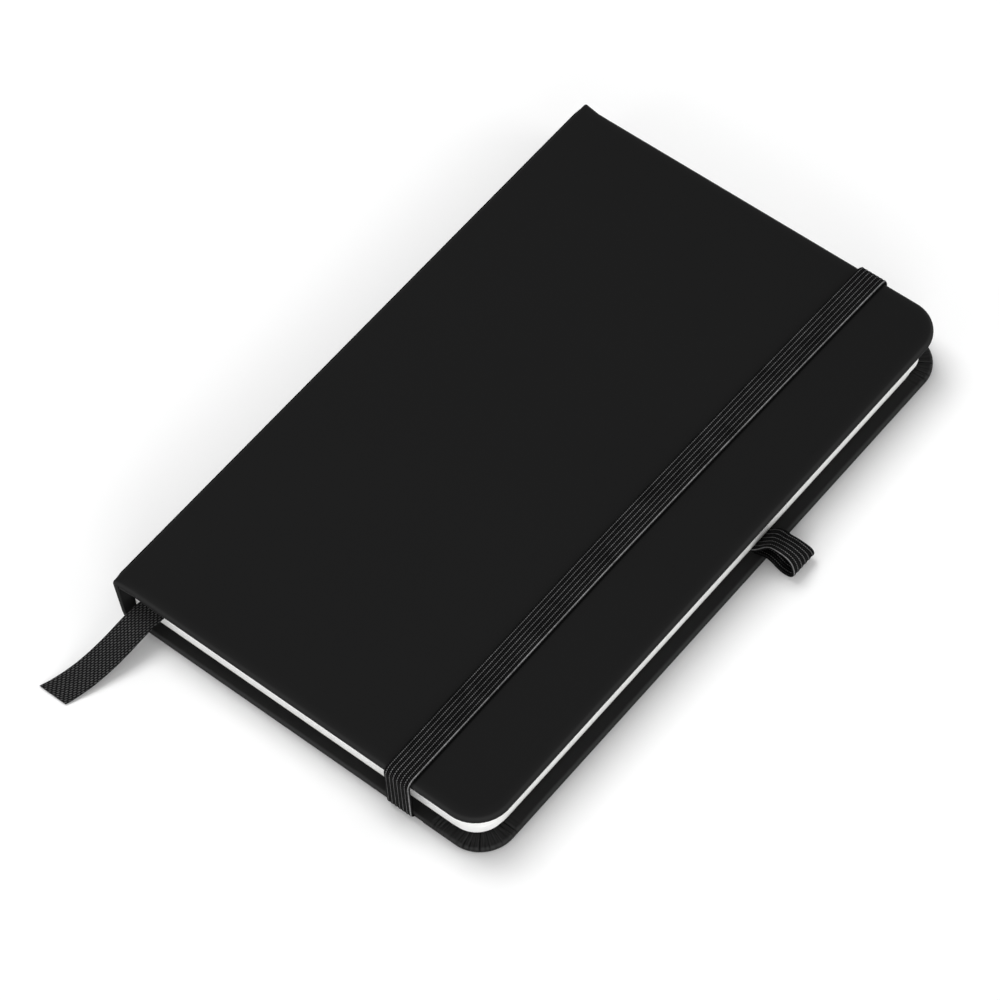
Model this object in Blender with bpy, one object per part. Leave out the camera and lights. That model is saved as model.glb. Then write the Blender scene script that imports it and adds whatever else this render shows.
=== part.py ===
"""Pocket notebook: hard cover with square spine, page block, elastic band, pen loop, ribbon marker.

Metres, +Z up. X runs from the spine to the fore edge, Y from the tail to the head.
The origin is the middle of the back cover's underside.
"""

import math

import bmesh
import bpy
import numpy as np

MM = 0.001

# Cover
COVER_WIDTH = 89.4
COVER_HEIGHT = 140.0
THICKNESS = 12.55
PANEL = 1.75
SKIN = 0.40
TURN_IN = 0.35
TURN_IN_MARGIN = 13.0
CORNER_RADIUS = 7.5
SPINE_WALL = 1.30
SPINE_INNER_SKIN = 0.28
HINGE_GAP = 0.12

# Page block
PAGE_MARGIN_Y = 2.6
PAGE_X0 = -43.0
PAGE_X1 = 41.6
PAGE_CORNER = 7.0
SHEET = 0.12
SLIP = 0.04
RIBBON_GAP = 0.35
SECTIONS = 6

# Binding
LINING_THICK = 0.10
LINING_GAP = 0.05
LINING_SHORT = 3.0
THREAD_PLACES = (-52.0, -18.0, 18.0, 52.0)
THREAD_HALF = 0.3

# Elastic
BAND_X = 25.6
BAND_WIDTH = 6.1
BAND_THICK = 0.75
BAND_REST = 0.05
BAND_ANCHOR = 11.0
GROOVE_SIDE = 0.15
GROOVE_TOP = 0.12
LOOP_Y = 14.95
LOOP_WIDTH = 7.0
LOOP_THICK = 0.60
LOOP_RECESS = (29.7, 43.3)
LOOP_RECESS_SIDE = 0.2
LOOP_UPPER = (
    (30.0, 1.43), (36.0, 1.43), (40.4, 1.43), (41.5, 1.43), (42.4, 2.05), (43.5, 3.25),
    (44.7, 4.70), (46.0, 5.70), (47.8, 6.03), (49.6, 5.75), (50.8, 4.85),
)
LOOP_LOWER = (
    (51.3, 3.40), (51.1, 1.70), (50.2, 0.80), (48.6, 0.62), (46.9, 0.65), (45.7, 1.15),
    (44.95, 2.10), (44.0, 2.32), (43.0, 1.95), (42.1, 1.20), (41.2, 0.82), (39.5, 0.77),
    (36.0, 0.77), (30.0, 0.77),
)

# Ribbon
RIBBON_WIDTH = 6.2
RIBBON_THICK = 0.25
RIBBON_INSIDE = (66.0, 33.0, 0.0, -33.0)
RIBBON_LEAVES_AT = -67.0
RIBBON_DRIFT = (
    (70.0, -37.55), (-67.0, -37.55), (-69.4, -37.90), (-71.93, -38.31), (-74.38, -38.71),
    (-77.62, -39.25), (-81.42, -40.07), (-85.02, -41.03), (-88.65, -42.31), (-91.0, -43.33),
)
RIBBON_FALL = (
    (-71.93, 5.60), (-74.38, 4.75), (-77.62, 3.60), (-81.42, 2.35), (-85.02, 1.40),
    (-88.65, 0.62), (-91.0, 0.28),
)

X0 = -COVER_WIDTH / 2
X1 = COVER_WIDTH / 2
Y1 = COVER_HEIGHT / 2
FRONT_Z0 = THICKNESS - PANEL
FRONT_X0 = X0 + SPINE_WALL + HINGE_GAP
PAGE_Y1 = Y1 - PAGE_MARGIN_Y
HINGE_AXIS = (X0 + 0.8, THICKNESS + 0.05)
PANEL_EDGE = 0.62
BOARD_GAP = 0.05
POCKET_CLEARANCE = 0.02


def clear_scene():
    """Empty the scene."""
    for obj in list(bpy.data.objects):
        bpy.data.objects.remove(obj, do_unlink=True)


def material(name, color, roughness):
    """Make one Principled material."""
    mat = bpy.data.materials.new(name)
    mat.use_nodes = True
    shader = mat.node_tree.nodes["Principled BSDF"]
    shader.inputs["Base Color"].default_value = (*color, 1.0)
    shader.inputs["Roughness"].default_value = roughness
    return mat


def pick(obj):
    """Make obj the only selected and active object."""
    bpy.ops.object.select_all(action="DESELECT")
    obj.select_set(True)
    bpy.context.view_layer.objects.active = obj


def box(name, low, high):
    """Add a box between two corners given in millimetres, with scale applied."""
    size = [(b - a) * MM for a, b in zip(low, high)]
    centre = [(a + b) / 2 * MM for a, b in zip(low, high)]
    bpy.ops.mesh.primitive_cube_add(size=1.0, location=centre)
    obj = bpy.context.object
    obj.name = name
    obj.scale = size
    bpy.ops.object.transform_apply(location=True, rotation=False, scale=True)
    return obj


def round_upright_edges(obj, radius, x_min, segments=10):
    """Bevel the edges that run along Z and lie beyond x_min."""
    mesh = bmesh.new()
    mesh.from_mesh(obj.data)
    edges = []
    for edge in mesh.edges:
        a, b = (v.co for v in edge.verts)
        upright = abs(a.x - b.x) < 1e-7 and abs(a.y - b.y) < 1e-7
        if upright and a.x > x_min * MM:
            edges.append(edge)
    bmesh.ops.bevel(
        mesh,
        geom=edges,
        offset=radius * MM,
        offset_type="OFFSET",
        segments=segments,
        profile=0.5,
        affect="EDGES",
    )
    mesh.to_mesh(obj.data)
    mesh.free()


def soften(obj, width, segments=2, angle=40.0):
    """Round the sharp edges with an applied Bevel modifier."""
    pick(obj)
    bevel = obj.modifiers.new("soften", "BEVEL")
    bevel.width = width * MM
    bevel.segments = segments
    bevel.limit_method = "ANGLE"
    bevel.angle_limit = math.radians(angle)
    bpy.ops.object.modifier_apply(modifier=bevel.name)


def cut(obj, cutter):
    """Subtract a cutter and remove it."""
    cutter.hide_render = True
    cutter.display_type = "WIRE"
    pick(obj)
    boolean = obj.modifiers.new("cut", "BOOLEAN")
    boolean.operation = "DIFFERENCE"
    boolean.solver = "EXACT"
    boolean.object = cutter
    bpy.ops.object.modifier_apply(modifier=boolean.name)
    bpy.data.objects.remove(cutter, do_unlink=True)


def finish(obj, mat, origin=None):
    """Give the object its material, shading and origin."""
    obj.data.materials.clear()
    obj.data.materials.append(mat)
    pick(obj)
    bpy.ops.object.shade_smooth_by_angle(angle=math.radians(35.0))
    if origin is not None:
        bpy.context.scene.cursor.location = [c * MM for c in origin]
        bpy.ops.object.origin_set(type="ORIGIN_CURSOR")
    return obj


def rounded_plate(name, low, high, radius, edge=0.0, segments=10):
    """Make a plate whose two fore corners are rounded and whose edges may be softened."""
    obj = box(name, low, high)
    round_upright_edges(obj, radius, 0.0, segments)
    if edge > 0.0:
        soften(obj, edge, 3)
    return obj


def spline(points, steps=5):
    """Pass a smooth curve through points of any dimension."""
    ends = [points[0], *points, points[-1]]
    path = []
    for i in range(1, len(ends) - 2):
        p0, p1, p2, p3 = ends[i - 1 : i + 3]
        for k in range(steps):
            t = k / steps
            row = []
            for a, b, c, d in zip(p0, p1, p2, p3):
                value = 2 * b + (c - a) * t + (2 * a - 5 * b + 4 * c - d) * t * t
                value += (3 * b - a - 3 * c + d) * t * t * t
                row.append(value / 2)
            path.append(row)
    path.append(list(points[-1]))
    return path


def strap(name, path, width, thick, edge=0.12):
    """Sweep a flat strap whose width runs across a path of (across, along, up) points.

    The strip is built from an extruded curve, thickened by a Solidify modifier.
    """
    curve = bpy.data.curves.new(name, "CURVE")
    curve.dimensions = "2D"
    curve.fill_mode = "NONE"
    curve.extrude = width / 2 * MM
    line = curve.splines.new("POLY")
    line.points.add(len(path) - 1)
    for point, (across, along, up) in zip(line.points, path):
        point.co = (along * MM, up * MM, 0.0, 1.0)
    obj = bpy.data.objects.new(name, curve)
    bpy.context.scene.collection.objects.link(obj)
    pick(obj)
    bpy.ops.object.convert(target="MESH")
    obj = bpy.context.object
    thicken = obj.modifiers.new("thicken", "SOLIDIFY")
    thicken.thickness = thick * MM
    thicken.offset = 0.0
    thicken.use_even_offset = True
    bpy.ops.object.modifier_apply(modifier=thicken.name)
    if edge > 0.0:
        soften(obj, edge, 2, 60.0)
    return obj


def lay_across_y(obj):
    """Turn a strap drawn in its own plane so that its width runs along Y."""
    for vertex in obj.data.vertices:
        x, z, y = vertex.co
        vertex.co = (x, y, z)
    flip(obj)


def lay_across_x(obj, drift):
    """Turn a strap so that its width runs along X, shifted by drift(y) millimetres."""
    for vertex in obj.data.vertices:
        y, z, x = vertex.co
        vertex.co = (x + drift(y / MM) * MM, y, z)


def flip(obj):
    """Reverse the faces after a mirrored change of axes."""
    pick(obj)
    bpy.ops.object.mode_set(mode="EDIT")
    bpy.ops.mesh.select_all(action="SELECT")
    bpy.ops.mesh.normals_make_consistent(inside=False)
    bpy.ops.object.mode_set(mode="OBJECT")


def cover_panel(side, x_low, z_low, outward):
    """Build one board and the skin wrapped round it, turned in on the inner face."""
    z_high = z_low + PANEL
    inner_low = z_low + SKIN if outward < 0 else z_low + TURN_IN
    inner_high = inner_low + PANEL - SKIN - TURN_IN
    skin = rounded_plate(
        f"cover_skin_{side}", (x_low, -Y1, z_low), (X1, Y1, z_high), CORNER_RADIUS, PANEL_EDGE
    )
    inset = SKIN
    pocket = rounded_plate(
        "pocket",
        (x_low + inset, -Y1 + inset, inner_low - POCKET_CLEARANCE),
        (X1 - inset, Y1 - inset, inner_high + POCKET_CLEARANCE),
        CORNER_RADIUS - inset,
    )
    cut(skin, pocket)
    window_z = (inner_high, z_high + 1) if outward < 0 else (z_low - 1, inner_low)
    window = rounded_plate(
        "window",
        (x_low + TURN_IN_MARGIN, -Y1 + TURN_IN_MARGIN, window_z[0]),
        (X1 - TURN_IN_MARGIN, Y1 - TURN_IN_MARGIN, window_z[1]),
        2.0,
        segments=3,
    )
    cut(skin, window)
    gap = inset + BOARD_GAP
    board = rounded_plate(
        f"{side}_board",
        (x_low + gap, -Y1 + gap, inner_low + POCKET_CLEARANCE),
        (X1 - gap, Y1 - gap, inner_high - POCKET_CLEARANCE),
        CORNER_RADIUS - gap,
    )
    return skin, board


def back_cover(mats):
    """Build the back panel with its band grooves and pen-loop recess."""
    skin, board = cover_panel("back", X0, 0.0, -1)
    half = BAND_WIDTH / 2 + GROOVE_SIDE
    groove_top = BAND_THICK + GROOVE_TOP
    for sign in (-1, 1):
        ends = sorted((sign * (Y1 + 2), sign * (Y1 - BAND_ANCHOR - 0.2)))
        for target in (skin, board):
            groove = box(
                "groove",
                (BAND_X - half, ends[0], -1.0),
                (BAND_X + half, ends[1], groove_top),
            )
            cut(target, groove)
    for target in (skin, board):
        recess = box(
            "recess",
            (LOOP_RECESS[0], LOOP_Y - LOOP_WIDTH / 2 - LOOP_RECESS_SIDE, SKIN + 0.02),
            (LOOP_RECESS[1], LOOP_Y + LOOP_WIDTH / 2 + LOOP_RECESS_SIDE, PANEL + 1),
        )
        cut(target, recess)
    finish(skin, mats["cover"])
    finish(board, mats["board"])


def front_cover(mats):
    """Build the front panel; its origin lies on the hinge line."""
    skin, board = cover_panel("front", FRONT_X0, FRONT_Z0, 1)
    axis = (HINGE_AXIS[0], 0.0, HINGE_AXIS[1])
    finish(skin, mats["cover"], axis)
    finish(board, mats["board"], axis)
    low = (PAGE_X0 + 0.1, -PAGE_Y1, FRONT_Z0 - SLIP - SHEET)
    paste = rounded_plate("front_pastedown", low, (PAGE_X1, PAGE_Y1, FRONT_Z0 - SLIP), PAGE_CORNER)
    finish(paste, mats["endpaper"], axis)


def spine(mats):
    """Build the spine wall, which stands on the back panel and ends level with the front one."""
    low = PANEL + 0.05
    high = THICKNESS
    skin = box("cover_skin_spine", (X0, -Y1, low), (X0 + SPINE_WALL, Y1, high))
    soften(skin, 0.2)
    board_x = (X0 + SKIN, X0 + SPINE_WALL - SPINE_INNER_SKIN)
    slot = box("slot", (board_x[0], -Y1 + SKIN, low + 0.3), (board_x[1], Y1 - SKIN, high - 0.3))
    window = box(
        "slot_mouth",
        (board_x[0] + 0.1, -Y1 + TURN_IN_MARGIN, low + 1.2),
        (X0 + SPINE_WALL + 1, Y1 - TURN_IN_MARGIN, high - 1.2),
    )
    cut(skin, slot)
    cut(skin, window)
    board = box(
        "spine_board",
        (board_x[0] + 0.03, -Y1 + SKIN + 0.05, low + 0.35),
        (board_x[1] - 0.03, Y1 - SKIN - 0.05, high - 0.35),
    )
    finish(skin, mats["cover"])
    finish(board, mats["board"])


def leaves(mats):
    """Build the endpapers and the sewn sections, from the back cover upwards.

    Returns the height of the gap that the ribbon lies in.
    """
    z = PANEL + SLIP
    for name in ("back_pastedown", "back_flyleaf"):
        low = (PAGE_X0, -PAGE_Y1, z)
        sheet = rounded_plate(name, low, (PAGE_X1, PAGE_Y1, z + SHEET), PAGE_CORNER)
        finish(sheet, mats["endpaper"])
        z += SHEET + SLIP
    top = FRONT_Z0 - 2 * (SLIP + SHEET) - SLIP
    gaps = (SECTIONS - 2) * SLIP + RIBBON_GAP
    section = (top - z - gaps) / SECTIONS
    ribbon_z = 0.0
    for number in range(SECTIONS, 0, -1):
        low = (PAGE_X0, -PAGE_Y1, z)
        block = rounded_plate(
            f"section_{number}", low, (PAGE_X1, PAGE_Y1, z + section), PAGE_CORNER
        )
        origin = (PAGE_X0, 0.0, top) if number == 1 else None
        finish(block, mats["paper"], origin)
        z += section
        if number == 4:
            ribbon_z = z + RIBBON_GAP / 2
            z += RIBBON_GAP
        else:
            z += SLIP
    low = (PAGE_X0, -PAGE_Y1, top + SLIP)
    fly = rounded_plate(
        "front_flyleaf", low, (PAGE_X1, PAGE_Y1, top + SLIP + SHEET), PAGE_CORNER
    )
    finish(fly, mats["endpaper"], (PAGE_X0, 0.0, top + SLIP + SHEET / 2))
    return ribbon_z, top


def binding(top, mats):
    """Build the lining glued on the sections' backs and the sewing thread runs."""
    wall = X0 + SPINE_WALL
    lining = box(
        "spine_lining",
        (wall + LINING_GAP, -PAGE_Y1 + LINING_SHORT, PANEL + 0.3),
        (wall + LINING_GAP + LINING_THICK, PAGE_Y1 - LINING_SHORT, top - 0.1),
    )
    finish(lining, mats["paper"])
    for number, y in enumerate(THREAD_PLACES, start=1):
        thread = box(
            f"sewing_thread_{number}",
            (wall + 0.18, y - THREAD_HALF, PANEL + 0.6),
            (PAGE_X0 - SLIP, y + THREAD_HALF, top - 0.3),
        )
        finish(thread, mats["thread"])


def band(mats):
    """Build the closing band: a span over the cover, two legs and two anchor tabs."""
    low_x = BAND_X - BAND_WIDTH / 2
    high_x = BAND_X + BAND_WIDTH / 2
    leg_in = Y1 + BAND_REST
    leg_out = leg_in + BAND_THICK
    span_z = THICKNESS + BAND_REST
    span = box("band_span", (low_x, -leg_out, span_z), (high_x, leg_out, span_z + BAND_THICK))
    soften(span, 0.25)
    finish(span, mats["elastic"], (BAND_X, 0.0, span_z))
    for side, sign in (("tail", -1), ("head", 1)):
        ends = sorted((sign * leg_in, sign * leg_out))
        leg = box(f"band_leg_{side}", (low_x, ends[0], 0.05), (high_x, ends[1], span_z - 0.02))
        soften(leg, 0.2)
        finish(leg, mats["elastic"], (BAND_X, sign * (leg_in + leg_out) / 2, span_z))
        ends = sorted((sign * (leg_in - 0.03), sign * (Y1 - BAND_ANCHOR)))
        tab = box(f"band_anchor_{side}", (low_x, ends[0], 0.05), (high_x, ends[1], BAND_THICK + 0.05))
        soften(tab, 0.15)
        finish(tab, mats["elastic"])


def pen_loop(mats):
    """Build the pen loop: a strip folded double, its ends let into the back board."""
    path = [(0.0, x, z) for x, z in spline(LOOP_UPPER + LOOP_LOWER, 3)]
    loop = strap("pen_loop", path, LOOP_WIDTH, LOOP_THICK, 0.1)
    lay_across_y(loop)
    for vertex in loop.data.vertices:
        vertex.co.y += LOOP_Y * MM
    finish(loop, mats["elastic"])


def ribbon(level, mats):
    """Build the ribbon marker from the head of the block, through it, to its cut end."""
    leave = ((RIBBON_LEAVES_AT, level), (-69.4, level - 0.1))
    path = [(0.0, y, level) for y in RIBBON_INSIDE]
    path += [(0.0, y, z) for y, z in spline(leave + RIBBON_FALL, 4)]
    strip = strap("ribbon_marker", path, RIBBON_WIDTH, RIBBON_THICK, 0.05)
    bends = spline(RIBBON_DRIFT[1:], 4)[::-1] + [RIBBON_DRIFT[0]]
    along = [y for y, x in bends]
    across = [x for y, x in bends]

    def drift(y):
        """Give the sideways place of the ribbon's middle at y."""
        return float(np.interp(y, along, across))

    lay_across_x(strip, drift)
    flip(strip)
    finish(strip, mats["ribbon"])


def main():
    """Build every piece."""
    clear_scene()
    mats = {
        "cover": material("cover", (0.018, 0.018, 0.018), 0.6),
        "board": material("board", (0.36, 0.33, 0.28), 0.9),
        "paper": material("paper", (0.88, 0.87, 0.84), 0.85),
        "endpaper": material("endpaper", (0.84, 0.83, 0.79), 0.8),
        "thread": material("thread", (0.8, 0.79, 0.75), 0.8),
        "elastic": material("elastic", (0.012, 0.012, 0.012), 0.8),
        "ribbon": material("ribbon", (0.014, 0.014, 0.014), 0.55),
    }
    back_cover(mats)
    spine(mats)
    ribbon_level, top = leaves(mats)
    binding(top, mats)
    front_cover(mats)
    band(mats)
    pen_loop(mats)
    ribbon(ribbon_level, mats)


main()
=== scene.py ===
"""Looks of a pocket notebook with a closing band, a pen loop and a ribbon marker.

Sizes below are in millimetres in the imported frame: X from the spine to the fore edge,
Y from the tail to the head, Z from the back cover to the front cover.
"""

from __future__ import annotations

import logging
import math
from collections.abc import Callable, Sequence
from dataclasses import dataclass
from enum import Enum, IntEnum

import bpy
import numpy as np
from mathutils import Matrix, Vector


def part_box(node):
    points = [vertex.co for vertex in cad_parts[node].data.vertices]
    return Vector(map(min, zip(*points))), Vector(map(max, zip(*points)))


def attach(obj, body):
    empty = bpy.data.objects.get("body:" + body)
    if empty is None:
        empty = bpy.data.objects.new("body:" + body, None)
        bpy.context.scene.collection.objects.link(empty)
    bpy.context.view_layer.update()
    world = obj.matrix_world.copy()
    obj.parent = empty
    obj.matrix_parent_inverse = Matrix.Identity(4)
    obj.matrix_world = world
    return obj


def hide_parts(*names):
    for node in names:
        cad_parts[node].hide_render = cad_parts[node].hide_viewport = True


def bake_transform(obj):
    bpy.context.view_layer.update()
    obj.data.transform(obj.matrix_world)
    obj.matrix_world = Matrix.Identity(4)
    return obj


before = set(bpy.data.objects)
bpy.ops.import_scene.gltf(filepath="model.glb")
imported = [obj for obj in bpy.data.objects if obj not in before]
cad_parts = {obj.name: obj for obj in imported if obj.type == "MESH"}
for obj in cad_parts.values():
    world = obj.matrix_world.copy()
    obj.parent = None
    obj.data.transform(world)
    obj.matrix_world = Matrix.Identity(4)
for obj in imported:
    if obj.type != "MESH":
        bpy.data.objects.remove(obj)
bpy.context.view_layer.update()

MM = 0.001
SMOOTH_ANGLE = math.radians(32.0)
SKIN_ANGLE = math.radians(40.0)
STRAP_ANGLE = math.radians(50.0)
SEAM = 0.002
TOUCHING = 0.01
NO_CORNER = 1000.0
LOG = logging.getLogger("notebook")


class Body(Enum):
    """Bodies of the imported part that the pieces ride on."""

    BACK = "back_cover"
    FRONT = "front_cover"
    FLYLEAF = "front_flyleaf_leaf"
    FIRST_SECTION = "first_section"
    BAND = "elastic_band"


class Slot(Enum):
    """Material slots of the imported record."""

    COVER = "cover"
    PAPER = "paper"
    ENDPAPER = "endpaper"
    ELASTIC = "elastic"
    RIBBON = "ribbon"


class Side(Enum):
    """Which cover panel a wrap belongs to; the value is the way its outer face looks."""

    FRONT = 1
    BACK = -1


# ---------------------------------------------------------------- bench tools


def clear_selection() -> None:
    """Deselect every object."""
    bpy.ops.object.select_all(action="DESELECT")


def take(obj: bpy.types.Object) -> None:
    """Make one object the only selected and active one.

    Args:
        obj: The object to work on.
    """
    clear_selection()
    obj.select_set(True)
    bpy.context.view_layer.objects.active = obj


def node_box(node: str) -> tuple[Vector, Vector]:
    """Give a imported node's corners in millimetres.

    Args:
        node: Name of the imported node.

    Returns:
        Lowest and highest corner.
    """
    low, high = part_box(node)
    return low / MM, high / MM


def add_box(name: str, low: Sequence[float], high: Sequence[float]) -> bpy.types.Object:
    """Add a box between two corners, with its place in its mesh.

    Args:
        name: Name of the new object.
        low: Lowest corner in millimetres.
        high: Highest corner in millimetres.

    Returns:
        The box.
    """
    clear_selection()
    centre = [(a + b) / 2 * MM for a, b in zip(low, high)]
    bpy.ops.mesh.primitive_cube_add(size=1.0, location=centre)
    obj = bpy.context.object
    obj.name = name
    obj.scale = [(b - a) * MM for a, b in zip(low, high)]
    bpy.ops.object.transform_apply(location=True, rotation=False, scale=True)
    return obj


def mesh_points(obj: bpy.types.Object) -> np.ndarray:
    """Give a mesh's points in metres, one row for each."""
    flat = np.empty(len(obj.data.vertices) * 3)
    obj.data.vertices.foreach_get("co", flat)
    return flat.reshape(-1, 3)


def add_woven_grid(
    name: str,
    columns: int,
    rows: int,
    place: Callable[[np.ndarray, np.ndarray], np.ndarray],
) -> bpy.types.Object:
    """Add a grid and lay its points over a surface.

    Args:
        name: Name of the new object.
        columns: Faces across.
        rows: Faces along.
        place: Maps column and row numbers of all points to points in millimetres.

    Returns:
        The shaped grid, which keeps the grid's own UV map.
    """
    clear_selection()
    bpy.ops.mesh.primitive_grid_add(x_subdivisions=columns, y_subdivisions=rows, size=1.0)
    obj = bpy.context.object
    obj.name = name
    flat = mesh_points(obj)
    column = np.rint((flat[:, 0] + 0.5) * columns).astype(int)
    row = np.rint((flat[:, 1] + 0.5) * rows).astype(int)
    obj.data.vertices.foreach_set("co", (place(column, row) * MM).ravel())
    obj.data.update()
    return obj


def close_tube(obj: bpy.types.Object) -> None:
    """Sew a rolled-up grid along its seam and fill both of its ends.

    Args:
        obj: The rolled-up grid.
    """
    take(obj)
    bpy.ops.object.mode_set(mode="EDIT")
    bpy.ops.mesh.select_all(action="SELECT")
    bpy.ops.mesh.remove_doubles(threshold=SEAM * MM)
    bpy.ops.mesh.select_all(action="SELECT")
    bpy.ops.mesh.fill_holes(sides=0)
    bpy.ops.mesh.select_all(action="SELECT")
    bpy.ops.mesh.normals_make_consistent(inside=False)
    bpy.ops.object.mode_set(mode="OBJECT")


def bevel_edges(
    obj: bpy.types.Object,
    chosen: Callable[[Vector, Vector], bool],
    width: float,
    segments: int,
) -> None:
    """Round chosen edges in edit mode.

    Args:
        obj: The object to shape.
        chosen: Says from an edge's two ends, in millimetres, whether it is rounded.
        width: Bevel width in millimetres.
        segments: Faces across the rounding.
    """
    take(obj)
    bpy.ops.object.mode_set(mode="EDIT")
    bpy.ops.mesh.select_mode(type="EDGE")
    bpy.ops.mesh.select_all(action="DESELECT")
    bpy.ops.object.mode_set(mode="OBJECT")
    points = obj.data.vertices
    for edge in obj.data.edges:
        a, b = (points[i].co / MM for i in edge.vertices)
        edge.select = chosen(a, b)
    bpy.ops.object.mode_set(mode="EDIT")
    bpy.ops.mesh.bevel(offset=width * MM, segments=segments, affect="EDGES")
    bpy.ops.mesh.select_mode(type="VERT")
    bpy.ops.object.mode_set(mode="OBJECT")


def slice_across(obj: bpy.types.Object, places: Sequence[float]) -> None:
    """Cut extra edge loops across X, so that the piece can bend there.

    Args:
        obj: The object to cut.
        places: X of each cut, in millimetres.
    """
    take(obj)
    bpy.ops.object.mode_set(mode="EDIT")
    for x in places:
        bpy.ops.mesh.select_all(action="SELECT")
        bpy.ops.mesh.bisect(plane_co=(x * MM, 0.0, 0.0), plane_no=(1.0, 0.0, 0.0))
    bpy.ops.object.mode_set(mode="OBJECT")


def join(name: str, parts: Sequence[bpy.types.Object]) -> bpy.types.Object:
    """Join meshes into one object.

    Args:
        name: Name of the joined object.
        parts: The objects to join.

    Returns:
        The joined object.
    """
    take(parts[0])
    for part in parts[1:]:
        part.select_set(True)
    bpy.ops.object.join()
    parts[0].name = name
    return parts[0]


def reshape(obj: bpy.types.Object, move: Callable[[float, float, float], Sequence[float]]) -> None:
    """Move each point of a mesh.

    Args:
        obj: The object to shape.
        move: Maps a point's x, y and z to its new place, in millimetres.
    """
    for vertex in obj.data.vertices:
        vertex.co = Vector(move(*(vertex.co / MM))) * MM
    obj.data.update()


def within(value: float) -> float:
    """Hold a number between 0 and 1."""
    return min(max(value, 0.0), 1.0)


def smooth(obj: bpy.types.Object, angle: float = SMOOTH_ANGLE) -> None:
    """Shade smooth, with edges sharper than an angle kept crisp.

    Args:
        obj: The object to shade.
        angle: The angle in radians.
    """
    take(obj)
    bpy.ops.object.shade_smooth_by_angle(angle=angle)


def dress(obj: bpy.types.Object, material: bpy.types.Material) -> None:
    """Give a new piece its material.

    Args:
        obj: The piece.
        material: Its finish.
    """
    obj.data.materials.clear()
    obj.data.materials.append(material)
    LOG.info("%s: %d faces", obj.name, len(obj.data.polygons))


def smooth_route(points: Sequence[Sequence[float]], steps: int = 6) -> list[list[float]]:
    """Pass a smooth curve through points.

    Args:
        points: Route points of any dimension.
        steps: Pieces between each two points.

    Returns:
        Points along the curve.
    """
    ends = [points[0], *points, points[-1]]
    path: list[list[float]] = []
    for i in range(1, len(ends) - 2):
        p0, p1, p2, p3 = ends[i - 1 : i + 3]
        for k in range(steps):
            t = k / steps
            row = []
            for a, b, c, d in zip(p0, p1, p2, p3):
                value = 2 * b + (c - a) * t + (2 * a - 5 * b + 4 * c - d) * t * t
                value += (3 * b - a - 3 * c + d) * t * t * t
                row.append(value / 2)
            path.append(row)
    path.append(list(points[-1]))
    return path


def fillet_route(points: Sequence[Sequence[float]], radius: float) -> list[list[float]]:
    """Round the inner corners of an open route.

    Args:
        points: Corner points.
        radius: Length taken off each side of a corner.

    Returns:
        Points along the rounded route.
    """
    steps = 10
    corners = [np.array(p, float) for p in points]
    path = [corners[0]]
    for before, corner, after in zip(corners, corners[1:], corners[2:]):
        start = corner + (before - corner) / np.linalg.norm(before - corner) * radius
        end = corner + (after - corner) / np.linalg.norm(after - corner) * radius
        for k in range(steps + 1):
            t = k / steps
            path.append((1 - t) ** 2 * start + 2 * t * (1 - t) * corner + t * t * end)
    path.append(corners[-1])
    return [list(p) for p in path]


def even_stations(path: Sequence[Sequence[float]], step: float) -> np.ndarray:
    """Space points evenly along a route.

    Args:
        path: Route points in millimetres.
        step: Wanted spacing in millimetres.

    Returns:
        One row for each station.
    """
    route = np.array(path, float)
    lengths = np.concatenate([[0.0], np.cumsum(np.linalg.norm(np.diff(route, axis=0), axis=1))])
    count = max(2, int(round(lengths[-1] / step)))
    marks = np.linspace(0.0, lengths[-1], count + 1)
    return np.stack([np.interp(marks, lengths, route[:, i]) for i in range(route.shape[1])], 1)


def route_length(path: np.ndarray) -> float:
    """Give the length of a route in its own unit."""
    return float(np.linalg.norm(np.diff(path, axis=0), axis=1).sum())


# ------------------------------------------------------------------ finishes

Colour = tuple[float, float, float]


def grey(level: float) -> Colour:
    """Give a neutral colour."""
    return level, level, level


class MixSocket(IntEnum):
    """Places of a colour Mix node's sockets."""

    FACTOR = 0
    RESULT = 2
    LOW = 6
    HIGH = 7


class Value:
    """A number in a material's node tree, which takes the usual arithmetic signs."""

    def __init__(self, sheet: NodeSheet, socket: bpy.types.NodeSocket) -> None:
        """Wrap a socket.

        Args:
            sheet: The material's node sheet.
            socket: The output that holds the number.
        """
        self.sheet = sheet
        self.socket = socket

    def do(self, how: str, other: object = 0.0) -> Value:
        """Pass the number through a Math node.

        Args:
            how: The node's operation.
            other: Second number, where the operation takes one.

        Returns:
            The result.
        """
        return self.sheet.math(how, self, other)

    def off_middle(self) -> Value:
        """Give the distance from the middle of each whole step: 0 there and 1 at the step's ends."""
        return (self.do("FRACT") - 0.5).do("ABSOLUTE") * 2.0

    def __add__(self, other: object) -> Value:
        return self.do("ADD", other)

    def __sub__(self, other: object) -> Value:
        return self.do("SUBTRACT", other)

    def __rsub__(self, other: float) -> Value:
        return self.sheet.math("SUBTRACT", other, self)

    def __mul__(self, other: object) -> Value:
        return self.do("MULTIPLY", other)

    def __truediv__(self, other: object) -> Value:
        return self.do("DIVIDE", other)

    def __pow__(self, other: object) -> Value:
        return self.do("POWER", other)


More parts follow.
